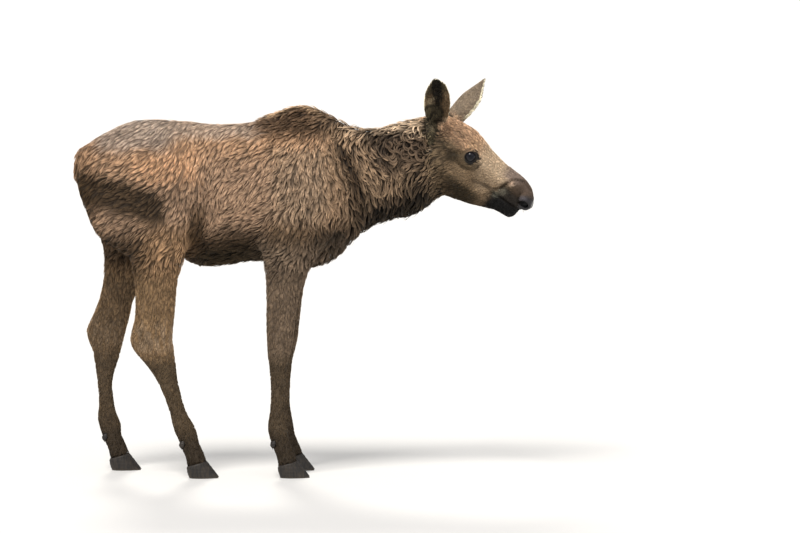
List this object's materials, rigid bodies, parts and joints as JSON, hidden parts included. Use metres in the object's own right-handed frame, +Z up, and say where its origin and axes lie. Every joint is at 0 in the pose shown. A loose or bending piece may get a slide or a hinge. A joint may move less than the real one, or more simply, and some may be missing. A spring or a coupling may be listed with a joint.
{
  "type": "moose calf",
  "caption": "Life-size still model of a young moose calf standing square with its neck level, in a woolly brown coat.",
  "frame": {"origin": "on the floor, under the centre of the bounding box", "axes": "+X is the way the calf faces, +Y is its left side, +Z is up"},
  "size_m": [1.216, 0.2932, 1.0534],
  "materials": {
    "brown_coat": "woolly brown calf coat, darker in the gaps between the locks, with a bluish sheen along the loins",
    "dark_leg_coat": "short flat dark brown hair",
    "face_coat": "short tan hair, dark round the eyes and on the muzzle",
    "eye": "wet, very dark brown",
    "hoof_horn": "dark grey horn with fine growth lines"
  },
  "bodies": {
    "root": {"dewclaw_fore_left_inner": "hoof_horn", "dewclaw_fore_left_outer": "hoof_horn", "dewclaw_fore_right_inner": "hoof_horn", "dewclaw_fore_right_outer": "hoof_horn", "dewclaw_hind_left_inner": "hoof_horn", "dewclaw_hind_left_outer": "hoof_horn", "dewclaw_hind_right_inner": "hoof_horn", "dewclaw_hind_right_outer": "hoof_horn", "ear_left": "face_coat", "ear_right": "face_coat", "eye_left": "eye", "eye_right": "eye", "fore_cannon_left": "dark_leg_coat", "fore_cannon_right": "dark_leg_coat", "foreleg_left": "brown_coat", "foreleg_right": "brown_coat", "head": "face_coat", "hind_cannon_left": "dark_leg_coat", "hind_cannon_right": "dark_leg_coat", "hind_leg_left": "brown_coat", "hind_leg_right": "brown_coat", "hoof_fore_left_inner": "hoof_horn", "hoof_fore_left_outer": "hoof_horn", "hoof_fore_right_inner": "hoof_horn", "hoof_fore_right_outer": "hoof_horn", "hoof_hind_left_inner": "hoof_horn", "hoof_hind_left_outer": "hoof_horn", "hoof_hind_right_inner": "hoof_horn", "hoof_hind_right_outer": "hoof_horn", "neck": "brown_coat", "tail": "brown_coat", "trunk": "brown_coat"}
  },
  "joints": []
}
